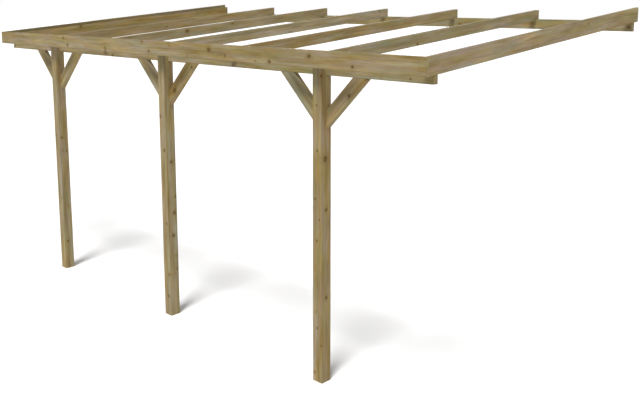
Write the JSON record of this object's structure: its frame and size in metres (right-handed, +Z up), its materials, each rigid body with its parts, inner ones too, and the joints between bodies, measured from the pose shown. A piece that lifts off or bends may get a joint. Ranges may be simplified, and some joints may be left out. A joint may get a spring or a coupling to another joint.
{
  "type": "lean-to carport",
  "caption": "Lean-to carport frame of planed timber: a row of braced posts carries a front beam, and sloping rafters run back to a beam on the wall.",
  "frame": {"origin": "middle of the wall beam's back face, on the wall", "axes": "+X along the beams, towards post 3; +Y into the wall; +Z up"},
  "size_m": [5.501, 3.03, 2.6492],
  "materials": {
    "post_timber": "planed pine, pressure impregnated",
    "brace_timber": "planed pine, pressure impregnated",
    "beam_timber": "planed pine, pressure impregnated",
    "rafter_timber": "planed pine, pressure impregnated",
    "board_timber": "planed pine, pressure impregnated"
  },
  "bodies": {
    "root": {"post_1": "post_timber", "post_2": "post_timber", "post_3": "post_timber", "brace_1_left": "brace_timber", "brace_1_right": "brace_timber", "brace_2_left": "brace_timber", "brace_2_right": "brace_timber", "brace_3_left": "brace_timber", "brace_3_right": "brace_timber", "front_beam": "beam_timber", "wall_beam": "beam_timber", "rafter_1": "rafter_timber", "rafter_2": "rafter_timber", "rafter_3": "rafter_timber", "rafter_4": "rafter_timber", "rafter_5": "rafter_timber", "rafter_6": "rafter_timber", "rafter_7": "rafter_timber", "front_board": "board_timber", "side_board_left": "board_timber", "side_board_right": "board_timber"}
  },
  "joints": []
}
